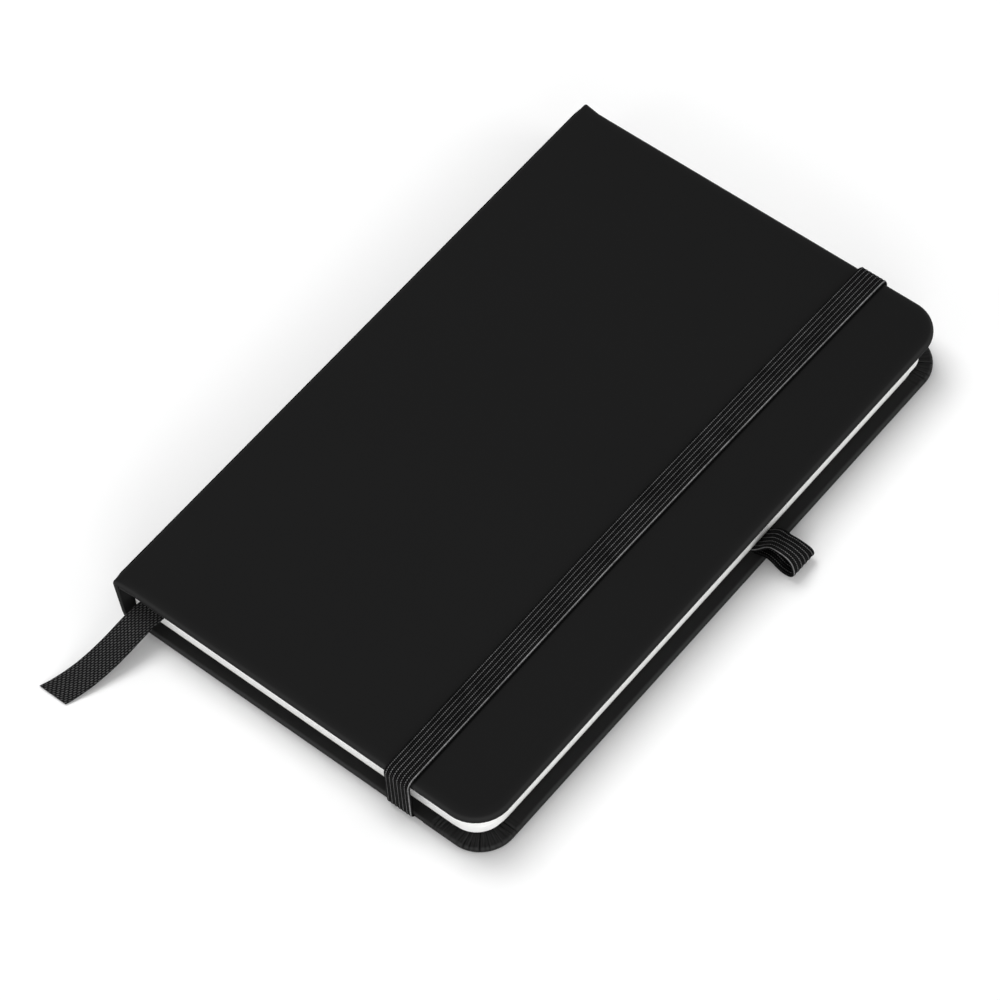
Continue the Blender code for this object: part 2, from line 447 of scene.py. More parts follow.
class NodeSheet:
    """One material's node tree, laid out with short calls."""

    def __init__(self, name: str) -> None:
        """Start a material.

        Args:
            name: Name of the material.
        """
        self.material = bpy.data.materials.new(name)
        self.material.use_nodes = True
        self.tree = self.material.node_tree
        self.shader = self.tree.nodes["Principled BSDF"]

    def node(self, kind: str, **settings: object) -> bpy.types.Node:
        """Add a node and set its attributes.

        Args:
            kind: Node type without the ShaderNode prefix.
            **settings: Attribute values.

        Returns:
            The node.
        """
        made = self.tree.nodes.new("ShaderNode" + kind)
        for key, value in settings.items():
            setattr(made, key, value)
        return made

    def feed(self, socket: bpy.types.NodeSocket, value: object) -> None:
        """Link a value or socket into an input, or set the input's own number or colour."""
        if isinstance(value, Value):
            value = value.socket
        if isinstance(value, bpy.types.NodeSocket):
            self.tree.links.new(value, socket)
        else:
            socket.default_value = value

    def math(self, how: str, a: object, b: object) -> Value:
        """Combine two numbers.

        Args:
            how: Math operation.
            a: First number or value.
            b: Second number or value.

        Returns:
            The result.
        """
        made = self.node("Math", operation=how)
        for socket, value in zip(made.inputs, (a, b)):
            self.feed(socket, value)
        return Value(self, made.outputs[0])

    def blend(self, factor: Value, low: object, high: object) -> bpy.types.NodeSocket:
        """Mix two colours by a factor.

        Args:
            factor: 0 for low and 1 for high.
            low: First colour, as numbers or a socket.
            high: Second colour, as numbers or a socket.

        Returns:
            The colour's socket.
        """
        made = self.node("Mix", data_type="RGBA")
        self.feed(made.inputs[MixSocket.FACTOR], factor)
        for place, colour in ((MixSocket.LOW, low), (MixSocket.HIGH, high)):
            self.feed(made.inputs[place], (*colour, 1.0) if isinstance(colour, tuple) else colour)
        return made.outputs[MixSocket.RESULT]

    def noise(self, scale: float, detail: float, stretch: Sequence[float] | None = None) -> Value:
        """Read noise over Object coordinates.

        Args:
            scale: Waves per metre.
            detail: Noise detail.
            stretch: Scale along each axis, or None.

        Returns:
            The noise value.
        """
        place = self.node("TexCoord").outputs["Object"]
        if stretch is not None:
            mapping = self.node("Mapping")
            mapping.inputs["Scale"].default_value = stretch
            self.feed(mapping.inputs["Vector"], place)
            place = mapping.outputs["Vector"]
        made = self.node("TexNoise")
        made.inputs["Scale"].default_value = scale
        made.inputs["Detail"].default_value = detail
        self.feed(made.inputs["Vector"], place)
        return Value(self, made.outputs["Fac"])

    def axes(self, output: str) -> list[Value]:
        """Split a texture coordinate into its three numbers."""
        parts = self.node("SeparateXYZ")
        self.feed(parts.inputs[0], self.node("TexCoord").outputs[output])
        return [Value(self, socket) for socket in parts.outputs]

    def attribute(self, name: str) -> Value:
        """Read a number that the mesh's own points store."""
        return Value(self, self.node("Attribute", attribute_name=name).outputs["Fac"])

    def bump(
        self, height: Value, depth: float, strength: float, under: bpy.types.NodeSocket | None = None
    ) -> bpy.types.NodeSocket:
        """Turn a height into a bumped normal.

        Args:
            height: Height, 0 to 1.
            depth: Depth of the bump in millimetres.
            strength: Share of the bump that shows.
            under: Normal that this bump lies on.

        Returns:
            The normal's socket.
        """
        made = self.node("Bump")
        made.inputs["Strength"].default_value = strength
        made.inputs["Distance"].default_value = depth * MM
        self.feed(made.inputs["Height"], height)
        if under is not None:
            self.feed(made.inputs["Normal"], under)
        return made.outputs[0]

    def paint(
        self, colour: object, rough: object, normal: bpy.types.NodeSocket | None = None, **plain: float
    ) -> bpy.types.Material:
        """Connect the shader and give the material back.

        Args:
            colour: Base colour socket.
            rough: Roughness.
            normal: Normal socket, or None.
            **plain: Other shader inputs by name, with underscores for spaces.

        Returns:
            The finished material.
        """
        self.feed(self.shader.inputs["Base Color"], colour)
        self.feed(self.shader.inputs["Roughness"], rough)
        if normal is not None:
            self.feed(self.shader.inputs["Normal"], normal)
        for key, value in plain.items():
            self.shader.inputs[key.replace("_", " ")].default_value = value
        return self.material


@dataclass(frozen=True)
class SoftTouchCover:
    """Matt black soft-touch PU: a very fine grain, with a painted highlight where it turns an edge and
    painted shade inside gathered creases.

    Attributes:
        name: Name of the material.
        dark: Darker colour of the flat skin.
        worn: Paler colour of the flat skin, in soft clouds.
        edge_highlight: Painted highlight colour where the skin turns an edge.
        crease_shade: Painted shade colour inside a gathered crease.
        roughness: Middle roughness.
        gloss: Specular level.
        edge_start: Tilt from level at which the painted edge highlight starts.
        edge_gain: How fast the painted edge highlight grows with the tilt.
        sheer_power: How late the painted edge highlight fades again on upright walls.
        sheer_shade: Share of the painted edge highlight that an upright wall loses.
        crease_power: How narrow the painted shade in the creases is.
        crease_gain: How dark the painted shade in the creases is.
    """

    name: str = "soft_touch_cover"
    dark: Colour = (0.0058, 0.0058, 0.0059)
    worn: Colour = grey(0.0070)
    edge_highlight: Colour = grey(0.021)
    crease_shade: Colour = grey(0.002)
    roughness: float = 0.62
    gloss: float = 0.055
    edge_start: float = 0.02
    edge_gain: float = 1.8
    sheer_power: float = 12.0
    sheer_shade: float = 0.75
    crease_power: float = 1.3
    crease_gain: float = 1.7

    def material(self) -> bpy.types.Material:
        """Build the material."""
        sheet = NodeSheet(self.name)
        flat = sheet.blend(sheet.noise(26.0, 3.0), self.dark, self.worn)
        # Painted highlight: the skin is paler where its normal tilts from level, on the rounded edges,
        # and less so on upright walls.
        tilt = (1.0 - sheet.axes("Normal")[2] ** 2.0).do("SQRT")
        edge = ((tilt - self.edge_start) * self.edge_gain).do("MAXIMUM", 0.0).do("MINIMUM", 1.0)
        sheer = 1.0 - tilt**self.sheer_power * self.sheer_shade
        skin = sheet.blend(edge * sheer, flat, self.edge_highlight)
        # Painted shade: the skin darkens to near black inside the gathered creases.
        uneven = sheet.noise(420.0, 2.0) * self.crease_gain
        fold = (sheet.attribute("crease") ** self.crease_power * uneven).do("MINIMUM", 1.0)
        colour = sheet.blend(fold, skin, self.crease_shade)
        grain = sheet.noise(5200.0, 1.5)
        rough = grain * 0.10 + (self.roughness - 0.05)
        normal = sheet.bump(sheet.noise(1500.0, 2.0), 0.010, 0.45)
        normal = sheet.bump(grain, 0.006, 0.5, normal)
        return sheet.paint(colour, rough, normal, Specular_IOR_Level=self.gloss)


@dataclass(frozen=True)
class GreyBoard:
    """Grey book board with a fibrous edge."""

    name: str = "grey_board"

    def material(self) -> bpy.types.Material:
        """Build the material."""
        sheet = NodeSheet(self.name)
        fibre = sheet.noise(900.0, 4.0, (1.0, 1.0, 5.0))
        colour = sheet.blend(fibre, (0.30, 0.28, 0.24), (0.42, 0.39, 0.34))
        return sheet.paint(colour, 0.9, sheet.bump(fibre, 0.05, 0.6))


@dataclass(frozen=True)
class LeafPaper:
    """Writing paper, ruled on its faces with fine lines."""

    name: str = "leaf_paper"
    ruled: bool = True
    white: Colour = (0.97, 0.97, 0.962)
    shade: Colour = (0.93, 0.93, 0.92)
    line: Colour = (0.50, 0.53, 0.57)
    line_ink: float = 0.75
    pitch: float = 6.5
    line_width: float = 0.18
    head_margin: float = 56.0
    tail_margin: float = -61.0

    def material(self) -> bpy.types.Material:
        """Build the material."""
        sheet = NodeSheet(self.name)
        fibre = sheet.noise(2600.0, 3.0)
        colour = sheet.blend(fibre * sheet.noise(60.0, 2.0), self.shade, self.white)
        if self.ruled:
            colour = self.rule(sheet, colour)
        return sheet.paint(colour, 0.82, sheet.bump(fibre, 0.008, 0.5), Specular_IOR_Level=0.3)

    def rule(self, sheet: NodeSheet, colour: bpy.types.NodeSocket) -> bpy.types.NodeSocket:
        """Draw lines across the leaf's two faces.

        Args:
            sheet: The material's node sheet.
            colour: The bare paper's colour.

        Returns:
            The colour with its lines.
        """
        _, y, _ = sheet.axes("Object")
        on_line = (y / (self.pitch * MM)).off_middle().do("LESS_THAN", self.line_width / self.pitch)
        on_face = sheet.axes("Normal")[2].do("ABSOLUTE").do("GREATER_THAN", 0.8)
        below_head = y.do("LESS_THAN", self.head_margin * MM)
        above_tail = y.do("GREATER_THAN", self.tail_margin * MM)
        mask = on_line * on_face * (below_head * above_tail)
        return sheet.blend(mask * self.line_ink, colour, self.line)


@dataclass(frozen=True)
class KnitElastic:
    """Black elastic: narrow raised wales of stitches, with a painted highlight on the wales and painted
    shade in the furrows between them.

    Attributes:
        name: Name of the material.
        length: Length of the strap in millimetres.
        wales: Number of wales across.
        stitch: Length of one stitch in millimetres.
        stagger: How far each wale's stitches start after the last wale's, in stitches.
        dark: Painted shade colour in the furrows.
        light: Painted highlight colour on the wales.
        selvedge: Place of the edge thread, as a share of the width.
        edge_thread: Half of the edge thread's width, as a share of the width.
    """

    name: str
    length: float
    wales: int = 14
    stitch: float = 0.42
    stagger: float = 0.37
    dark: Colour = (0.0006, 0.0006, 0.0007)
    light: Colour = (0.30, 0.30, 0.302)
    selvedge: float = 0.045
    edge_thread: float = 0.014

    def material(self) -> bpy.types.Material:
        """Build the material, which reads the strap's own UV map."""
        sheet = NodeSheet(self.name)
        u, v, _ = sheet.axes("UV")
        share = u * 2.0
        wale = share * self.wales
        number = wale.do("FLOOR")
        off = wale.off_middle()
        along = v * (self.length / self.stitch) + number * self.stagger
        stitch = ((along + off * 0.5) * math.tau).do("SINE") * 0.47 + 0.53
        bold = number.do("PINGPONG", 1.0) * 0.80 + 0.20
        from_edge = (share - (1.0 - self.selvedge)).do("ABSOLUTE")
        thread = from_edge.do("LESS_THAN", self.edge_thread) * 0.85
        height = (stitch * (1.0 - off) ** 2.2 * bold).do("MAXIMUM", thread)
        ragged = (sheet.noise(2600.0, 3.0) * 1.2 + 0.1) * (sheet.noise(260.0, 2.0) * 1.4 + 0.3)
        # Painted highlight and shade: the colour follows the stitches' height, lightest on the wale
        # crowns and near black in the furrows.
        colour = sheet.blend(height**1.2 * ragged, self.dark, self.light)
        return sheet.paint(colour, 0.85, sheet.bump(height, 0.10, 0.8), Specular_IOR_Level=0.04)


@dataclass(frozen=True)
class WovenRibbon:
    """Black ribbon: short floats in slanting rows, with a painted highlight on the floats and painted
    shade between them.

    Attributes:
        name: Name of the material.
        length: Length of the ribbon in millimetres.
        width: Width of the ribbon in millimetres.
        row: Width of one row of floats in millimetres.
        float_length: Length of one float in millimetres.
        lean: Slant of the rows.
        dark: Painted shade colour between the floats.
        light: Painted highlight colour on the floats.
    """

    name: str
    length: float
    width: float
    row: float = 0.46
    float_length: float = 0.84
    lean: float = -0.15
    dark: Colour = (0.0006, 0.0006, 0.0007)
    light: Colour = (0.105, 0.105, 0.106)

    def material(self) -> bpy.types.Material:
        """Build the material, which reads the ribbon's own UV map."""
        sheet = NodeSheet(self.name)
        u, v, _ = sheet.axes("UV")
        along = v * self.length
        rows = (along * self.lean + u * (2.0 * self.width)) / self.row
        far = (along / self.float_length + rows.do("FLOOR") * 0.5).off_middle()
        height = (1.0 - rows.off_middle() ** 1.6) * (1.0 - far**2.4)
        fuzz = sheet.noise(2400.0, 3.0) * 1.3 + 0.1
        # Painted highlight and shade: the colour follows the floats' height, lightest on their crowns and
        # near black between them.
        colour = sheet.blend(height**2.2 * fuzz, self.dark, self.light)
        return sheet.paint(colour, 0.7, sheet.bump(height, 0.07, 0.9), Specular_IOR_Level=0.06)


@dataclass(frozen=True)
class LinenThread:
    """Off-white sewing thread, twisted."""

    name: str = "linen_thread"
    twist: float = 9000.0

    def material(self) -> bpy.types.Material:
        """Build the material."""
        sheet = NodeSheet(self.name)
        _, y, z = sheet.axes("Object")
        shade = ((y + z) * self.twist).do("SINE") * 0.5 + 0.5
        colour = sheet.blend(shade, (0.62, 0.60, 0.55), (0.80, 0.78, 0.72))
        return sheet.paint(colour, 0.8, sheet.bump(shade, 0.05, 0.8))


# --------------------------------------------------------------------- case


@dataclass(frozen=True)
class Ring:
    """One line round a cover panel, from the outer face's middle to the inner face's.

    Attributes:
        inset: Distance in from the panel's edge, in millimetres.
        depth: Distance below the outer face.
        spine_inset: The same as inset, along the spine.
        spine_depth: The same as depth, along the spine.
        share: Share of the corner gathers that shows here.
    """

    inset: float
    depth: float
    spine_inset: float
    spine_depth: float
    share: float = 0.0


@dataclass
class PanelWrap:
    """The skin of one cover panel: softly rounded edges and gathered fore corners.

    The skin is a grid of rings, from the middle of the outer face round the edge to the inner
    face. A pleat is its distance from a corner's middle, its width and its strength.
    """

    side: Side
    node: str
    corner: float = 7.5
    spine_corner: float = 0.0
    spine_corner_steps: int = 8
    outer_round: float = 0.75
    crown: float = 0.0
    crown_reach: float = 3.0
    outer_spine_round: float = 0.0
    inner_round: float = 0.62
    turns: int = 7
    pleat_depth: float = 0.24
    pleat_share: float = 1.0
    pleat_draw: float = 0.35
    outer_share: float = 0.14
    inner_share: float = 0.25
    crease_band: float = 24.0
    crease_reach: float = 8.0
    crease_from: float = 0.55
    corner_step: float = 0.16
    fine_stretch: float = 1.6
    side_step: float = 3.0
    fine_reach: float = 9.0
    end_gap: float = 0.1
    face_rings: tuple[float, ...] = (6.6, 3.2, 2.5, 1.9, 1.3)
    inner_rings: tuple[float, ...] = (0.9, 1.2, 1.6, 2.1, 2.7, 3.4, 4.3, 5.4, 6.6)
    tail_pleats: tuple[tuple[float, float, float], ...] = (
        (-12.4, 0.24, 0.75), (-11.5, 0.24, 0.95), (-10.6, 0.24, 0.90), (-9.8, 0.22, 0.80),
        (-8.9, 0.22, 0.50), (-7.2, 0.45, 0.35), (-5.6, 0.35, 0.60), (-4.2, 0.26, 0.80),
        (-3.0, 0.22, 0.80), (-2.1, 0.30, 0.50), (-1.0, 0.22, 1.25), (0.1, 0.24, 0.60),
        (0.9, 0.18, 0.85), (2.2, 0.34, 0.50), (3.4, 0.20, 0.80), (4.8, 0.50, 0.45),
        (6.0, 0.22, 0.90), (6.9, 0.20, 1.10), (8.4, 0.40, 0.30),
    )
    head_pleats: tuple[tuple[float, float, float], ...] = (
        (-7.8, 0.40, 0.35), (-5.9, 0.30, 0.70), (-4.6, 0.22, 1.00), (-3.3, 0.34, 0.55),
        (-1.7, 0.20, 1.20), (-0.4, 0.40, 0.40), (1.2, 0.24, 0.80), (2.9, 0.45, 0.40),
        (4.9, 0.28, 0.60),
    )

    def box(self) -> tuple[Vector, Vector]:
        """Give the panel's corners in millimetres."""
        return node_box(self.node)

    def outer_level(self) -> float:
        """Give the height of the panel's outer face."""
        low, high = self.box()
        return high.z if self.side is Side.FRONT else low.z

    def drop(self, inset: float) -> float:
        """Give how far the padded face has fallen at an inset from its edge."""
        return self.crown * max(0.0, 1.0 - inset / self.crown_reach) ** 2

    def rings(self) -> list[Ring]:
        """List the rings from the outer face's middle round the edge to the inner face."""
        low, high = self.box()
        thick = high.z - low.z
        rings = [Ring(inset, self.drop(inset), inset, 0.0) for inset in self.face_rings]
        for k in range(self.turns + 1):
            turn = math.pi / 2 * k / self.turns
            near, fall = 1 - math.sin(turn), 1 - math.cos(turn)
            spine_fall = (self.outer_spine_round or self.outer_round) * fall
            rings.append(Ring(
                self.outer_round * near, self.outer_round * fall + self.drop(self.outer_round * near),
                self.outer_spine_round * near, spine_fall, self.outer_share * k / self.turns,
            ))
        for k in range(self.turns + 1):
            turn = math.pi / 2 * k / self.turns
            near, rise = 1 - math.cos(turn), 1 - math.sin(turn)
            depth = thick - self.inner_round * rise
            share = self.inner_share + (1.0 - self.inner_share) * k / self.turns
            rings.append(Ring(self.inner_round * near, depth, 0.0, depth, share))
        for inset in self.inner_rings:
            rings.append(Ring(inset, thick, inset, thick, 1.0))
        return rings

    def side_shares(self, length: float, fine_start: bool, fine_end: bool) -> list[float]:
        """Space points along a straight side, close-set beside a fore corner.

        Args:
            length: Length of the side in millimetres.
            fine_start: Whether the side starts at a fore corner.
            fine_end: Whether the side ends at a fore corner.

        Returns:
            Shares of the length, without the two ends.
        """
        at, places = 0.0, []
        while at < length:
            near = min(at if fine_start else length, length - at if fine_end else length)
            at += self.corner_step * self.fine_stretch if near < self.fine_reach else self.side_step
            places.append(at)
        return [place / length for place in places if place < length - self.end_gap]

    def line(self, ring: Ring) -> np.ndarray:
        """Walk once round the panel along one ring.

        Args:
            ring: The ring to walk.

        Returns:
            One row for each point: x, y, outward x, outward y, distance along the edge from
            the middle of the nearest fore corner (positive after it), share of the spine.
        """
        low, high = self.box()
        inset, r = ring.inset, self.corner
        x_low, x_high = low.x + ring.spine_inset, high.x - inset
        y_low, y_high = low.y + inset, high.y - inset
        fore = r - inset
        spine = max(self.spine_corner - inset, 0.0)
        half = r * math.pi / 4
        rows: list[tuple[float, float, float, float, float, float]] = []

        def turn(
            cx: float, cy: float, radius: float, start: float, steps: int, spine: tuple[float, float]
        ) -> None:
            """Add a quarter turn, whose share of the spine goes from one number to the other."""
            for k in range(steps + 1):
                t = k / max(steps, 1)
                angle = start + math.pi / 2 * (t if steps else 0.5)
                normal = math.cos(angle), math.sin(angle)
                mark = (t - 0.5) * 2 * half if spine[0] == spine[1] else NO_CORNER
                share = spine[0] + (spine[1] - spine[0]) * t if steps else 1.0
                rows.append((cx + radius * normal[0], cy + radius * normal[1], *normal, mark, share))

        def side(
            ax: float, ay: float, bx: float, by: float, full: float, fine: tuple[bool, bool], share: float
        ) -> None:
            """Add the inner points of a straight side."""
            size = math.hypot(by - ay, bx - ax)
            normal = (by - ay) / size, (ax - bx) / size
            for t in self.side_shares(full, *fine):
                after = half + t * full if fine[0] else NO_CORNER
                before = half + (1 - t) * full if fine[1] else NO_CORNER
                mark = after if after < before else -before
                rows.append((ax + (bx - ax) * t, ay + (by - ay) * t, *normal, mark, share))

        s = self.spine_corner
        steps = int(r * math.pi / 2 / self.corner_step)
        spine_steps = self.spine_corner_steps if s else 0
        height = high.y - low.y
        wide = high.x - low.x - r - s
        turn(x_high - fore, y_low + fore, fore, -math.pi / 2, steps, (0.0, 0.0))
        side(x_high, y_low + fore, x_high, y_high - fore, height - 2 * r, (True, True), 0.0)
        turn(x_high - fore, y_high - fore, fore, 0.0, steps, (0.0, 0.0))
        side(x_high - fore, y_high, x_low + spine, y_high, wide, (True, False), 0.0)
        turn(x_low + spine, y_high - spine, spine, math.pi / 2, spine_steps, (0.0, 1.0))
        side(x_low, y_high - spine, x_low, y_low + spine, height - 2 * s, (False, False), 1.0)
        turn(x_low + spine, y_low + spine, spine, math.pi, spine_steps, (1.0, 0.0))
        side(x_low + spine, y_low, x_high - fore, y_low, wide, (False, True), 0.0)
        return np.array(rows)

    def gather(self, marks: np.ndarray, at_tail: np.ndarray) -> np.ndarray:
        """Give the depth of the gathers at places along the edge.

        Args:
            marks: Distance from the middle of the nearest fore corner.
            at_tail: Whether that corner is the tail's.

        Returns:
            Depth of about 0 to 1 at each place.
        """
        depth = np.zeros_like(marks)
        for pleats, here in ((self.tail_pleats, at_tail), (self.head_pleats, ~at_tail)):
            for place, width, strength in pleats:
                depth += here * strength * np.exp(-(((marks - place) / width) ** 2))
        return depth

    def panel(self, name: str) -> bpy.types.Object:
        """Model the panel as one closed mesh.

        Args:
            name: Name of the new object.

        Returns:
            The panel.
        """
        rings = self.rings()
        outer = self.outer_level()
        inward = -self.side.value
        table = np.stack([self.line(ring) for ring in rings])
        gathers = self.gather(table[0, :, 4], table[0, :, 1] < 0.0)
        count = table.shape[1]

        def place(column: np.ndarray, row: np.ndarray) -> np.ndarray:
            """Lay the grid round the edge and across the rings."""
            column = column % count
            rows = table[row, column]
            depth = np.array([ring.depth for ring in rings])[row]
            spine_depth = np.array([ring.spine_depth for ring in rings])[row]
            share = np.array([ring.share for ring in rings])[row]
            pleat = gathers[column] * share * self.pleat_depth * self.pleat_share
            xy = rows[:, :2] - rows[:, 2:4] * (self.pleat_draw * pleat)[:, None]
            depth = depth + (spine_depth - depth) * rows[:, 5]
            z = outer + inward * (depth - pleat * (share > self.outer_share))
            return np.column_stack([xy, z])

        obj = add_woven_grid(name, count, len(rings) - 1, place)
        close_tube(obj)
        self.mark_creases(obj, table[0, :, :2], gathers)
        return obj

    def mark_creases(self, obj: bpy.types.Object, edge: np.ndarray, gathers: np.ndarray) -> None:
        """Store how deep in a gather each point lies, for the painted shade in the skin's creases.

        Args:
            obj: The panel.
            edge: Points round the panel's outermost ring, in millimetres.
            gathers: Depth of the gathers at those points.
        """
        points = mesh_points(obj) / MM
        depths = np.zeros(len(points))
        low, high = self.box()
        inside = np.abs(points[:, 2] - self.outer_level()) > self.crease_from * (high.z - low.z)
        fore = inside & (points[:, 0] > edge[:, 0].max() - self.crease_band)
        away = np.linalg.norm(points[fore, None, :2] - edge[None, :, :], axis=2)
        depths[fore] = gathers[away.argmin(axis=1)] * (away.min(axis=1) < self.crease_reach)
        crease = obj.data.attributes.new("crease", "FLOAT", "POINT")
        crease.data.foreach_set("value", depths)


@dataclass
class BackWrap(PanelWrap):
    """The back cover's skin, with a groove under it for each end of the band."""

    side: Side = Side.BACK
    node: str = "cover_skin_back"
    spine_corner: float = 0.6
    outer_spine_round: float = 1.45
    groove_slack: float = 0.95
    groove_floor: float = 0.85
    groove_overrun: float = 2.0
    groove_round: float = 0.2

    def cut_groove(self, obj: bpy.types.Object, anchor: str) -> None:
        """Sink a groove for one end of the band.

        Args:
            obj: The panel.
            anchor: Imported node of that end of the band.
        """
        low, high = node_box(anchor)
        outward = math.copysign(self.groove_overrun, low.y)
        reach = (min(low.y, low.y + outward), max(high.y, high.y + outward))
        cutter = add_box(
            "groove_cutter",
            (low.x - self.groove_slack, reach[0], -self.groove_overrun),
            (high.x + self.groove_slack, reach[1], self.groove_floor),
        )

        def roof_edge(a: Vector, b: Vector) -> bool:
            """Choose the cutter's two upper edges along Y."""
            return min(a.z, b.z) > 0.0 and abs(a.x - b.x) < TOUCHING

        bevel_edges(cutter, roof_edge, self.groove_round, 3)
        take(obj)
        boolean = obj.modifiers.new("groove", "BOOLEAN")
        boolean.operation = "DIFFERENCE"
        boolean.object = cutter
        bpy.ops.object.modifier_apply(modifier=boolean.name)
        bpy.data.objects.remove(cutter, do_unlink=True)

    def make(self, skin: bpy.types.Material) -> bpy.types.Object:
        """Build, dress and hang the back cover's skin.

        Args:
            skin: The cover's finish.

        Returns:
            The finished piece.
        """
        obj = self.panel("back_cover_wrap")
        for anchor in ("band_anchor_tail", "band_anchor_head"):
            self.cut_groove(obj, anchor)
        smooth(obj, SKIN_ANGLE)
        dress(obj, skin)
        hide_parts(self.node)
        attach(obj, Body.BACK.value)
        return obj


@dataclass
class FrontWrap(PanelWrap):
    """The front cover's skin, carried on over the hinge and down the square spine."""

    side: Side = Side.FRONT
    node: str = "cover_skin_front"
    spine_node: str = "cover_skin_spine"
    crown: float = 0.17
    pleat_share: float = 0.3
    hinge_start: float = -43.45
    hinge_end: float = -43.10
    hinge_steps: int = 8
    wall_foot: float = 1.75
    spine_round: float = 0.55
    flare: float = 0.55
    flare_reach: float = 5.0
    flare_length: float = 12.0
    skin_share: float = 0.98
    level_slack: float = 0.004
    spine_turns: int = 6

    def box(self) -> tuple[Vector, Vector]:
        """Give the panel's corners, without the strip that bends."""
        low, high = node_box(self.node)
        low.x = self.hinge_end
        return low, high

    def select_faces(self, obj: bpy.types.Object, chosen: Callable[[Vector], bool]) -> None:
        """Select faces by their middles.

        Args:
            obj: The object.
            chosen: Says from a face's middle, in millimetres, whether it is selected.
        """
        take(obj)
        bpy.ops.object.mode_set(mode="EDIT")
        bpy.ops.mesh.select_mode(type="FACE")
        bpy.ops.mesh.select_all(action="DESELECT")
        bpy.ops.object.mode_set(mode="OBJECT")
        for face in obj.data.polygons:
            face.select = chosen(face.center / MM)
        bpy.ops.object.mode_set(mode="EDIT")

    def pull(self, shift: Sequence[float]) -> None:
        """Extrude the selected faces.

        Args:
            shift: How far, in millimetres.
        """
        move = {"value": [s * MM for s in shift], "orient_type": "GLOBAL"}
        bpy.ops.mesh.extrude_region_move(TRANSFORM_OT_translate=move)

    def carry_over_spine(self, obj: bpy.types.Object) -> None:
        """Draw the skin out over the hinge and down the spine.

        Args:
            obj: The panel.
        """
        top = self.box()[1].z
        outer = node_box(self.spine_node)[0].x
        under = top - self.outer_round

        def hinge_face(middle: Vector) -> bool:
            """Choose the upper strip of the panel's spine side."""
            return abs(middle.x - self.hinge_end) < TOUCHING and middle.z > under

        self.select_faces(obj, hinge_face)
        for _ in range(self.hinge_steps):
            self.pull(((self.hinge_start - self.hinge_end) / self.hinge_steps, 0.0, 0.0))
        at = self.hinge_start
        for k in range(self.spine_turns + 1):
            turn = math.pi / 2 * k / self.spine_turns
            station = outer + self.spine_round * (1 - math.sin(turn))
            self.pull((station - at, 0.0, 0.0))
            at = station
        bpy.ops.object.mode_set(mode="OBJECT")
        self.select_faces(obj, lambda m: m.x < self.hinge_start and abs(m.z - under) < self.level_slack)
        self.pull((0.0, 0.0, self.wall_foot - under))
        bpy.ops.mesh.select_mode(type="VERT")
        bpy.ops.object.mode_set(mode="OBJECT")

    def round_spine(self, obj: bpy.types.Object) -> None:
        """Round the spine's long top edge and its upright edges.

        Args:
            obj: The panel with its spine.
        """
        top = self.box()[1]
        outer = node_box(self.spine_node)[0].x
        bend_y, bend_z = top.y - self.outer_round, top.z - self.outer_round

        def move(x: float, y: float, z: float) -> Sequence[float]:
            """Sink a point of the outer skin towards the spine's wall."""
            into = within((outer + self.spine_round - x) / self.spine_round)
            sink = self.spine_round * (1 - math.sqrt(1 - into**2))
            over_y, over_z = max(0.0, abs(y) - bend_y), max(0.0, z - bend_z)
            reach = math.hypot(over_y, over_z)
            if reach <= self.skin_share * self.outer_round:
                return x, y, z
            return x, y - math.copysign(over_y / reach * sink, y), z - over_z / reach * sink

        reshape(obj, move)

    def flare_ends(self, obj: bpy.types.Object) -> None:
        """Draw the spine's two ends out a little, most at the top.

        Args:
            obj: The panel with its spine.
        """
        top = self.box()[1]
        outer = node_box(self.spine_node)[0].x

        def move(x: float, y: float, z: float) -> Sequence[float]:
            """Draw a point near an end of the spine out along Y."""
            near = within(1.0 - (x - outer) / self.flare_reach)
            end = within((abs(y) - top.y) / self.flare_length + 1.0)
            return x, y + math.copysign(self.flare * near**2 * end**2 * z / top.z, y), z

        reshape(obj, move)

    def make(self, skin: bpy.types.Material) -> bpy.types.Object:
        """Build and dress the front cover's skin with the spine.

        Args:
            skin: The cover's finish.

        Returns:
            The finished piece.
        """
        obj = self.panel("front_cover_wrap")
        self.carry_over_spine(obj)
        self.round_spine(obj)
        self.flare_ends(obj)
        smooth(obj, SKIN_ANGLE)
        dress(obj, skin)
        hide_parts(self.node, self.spine_node)
        level = self.box()[1].z * MM
        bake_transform(obj)
        return obj


# --------------------------------------------------------------- page block


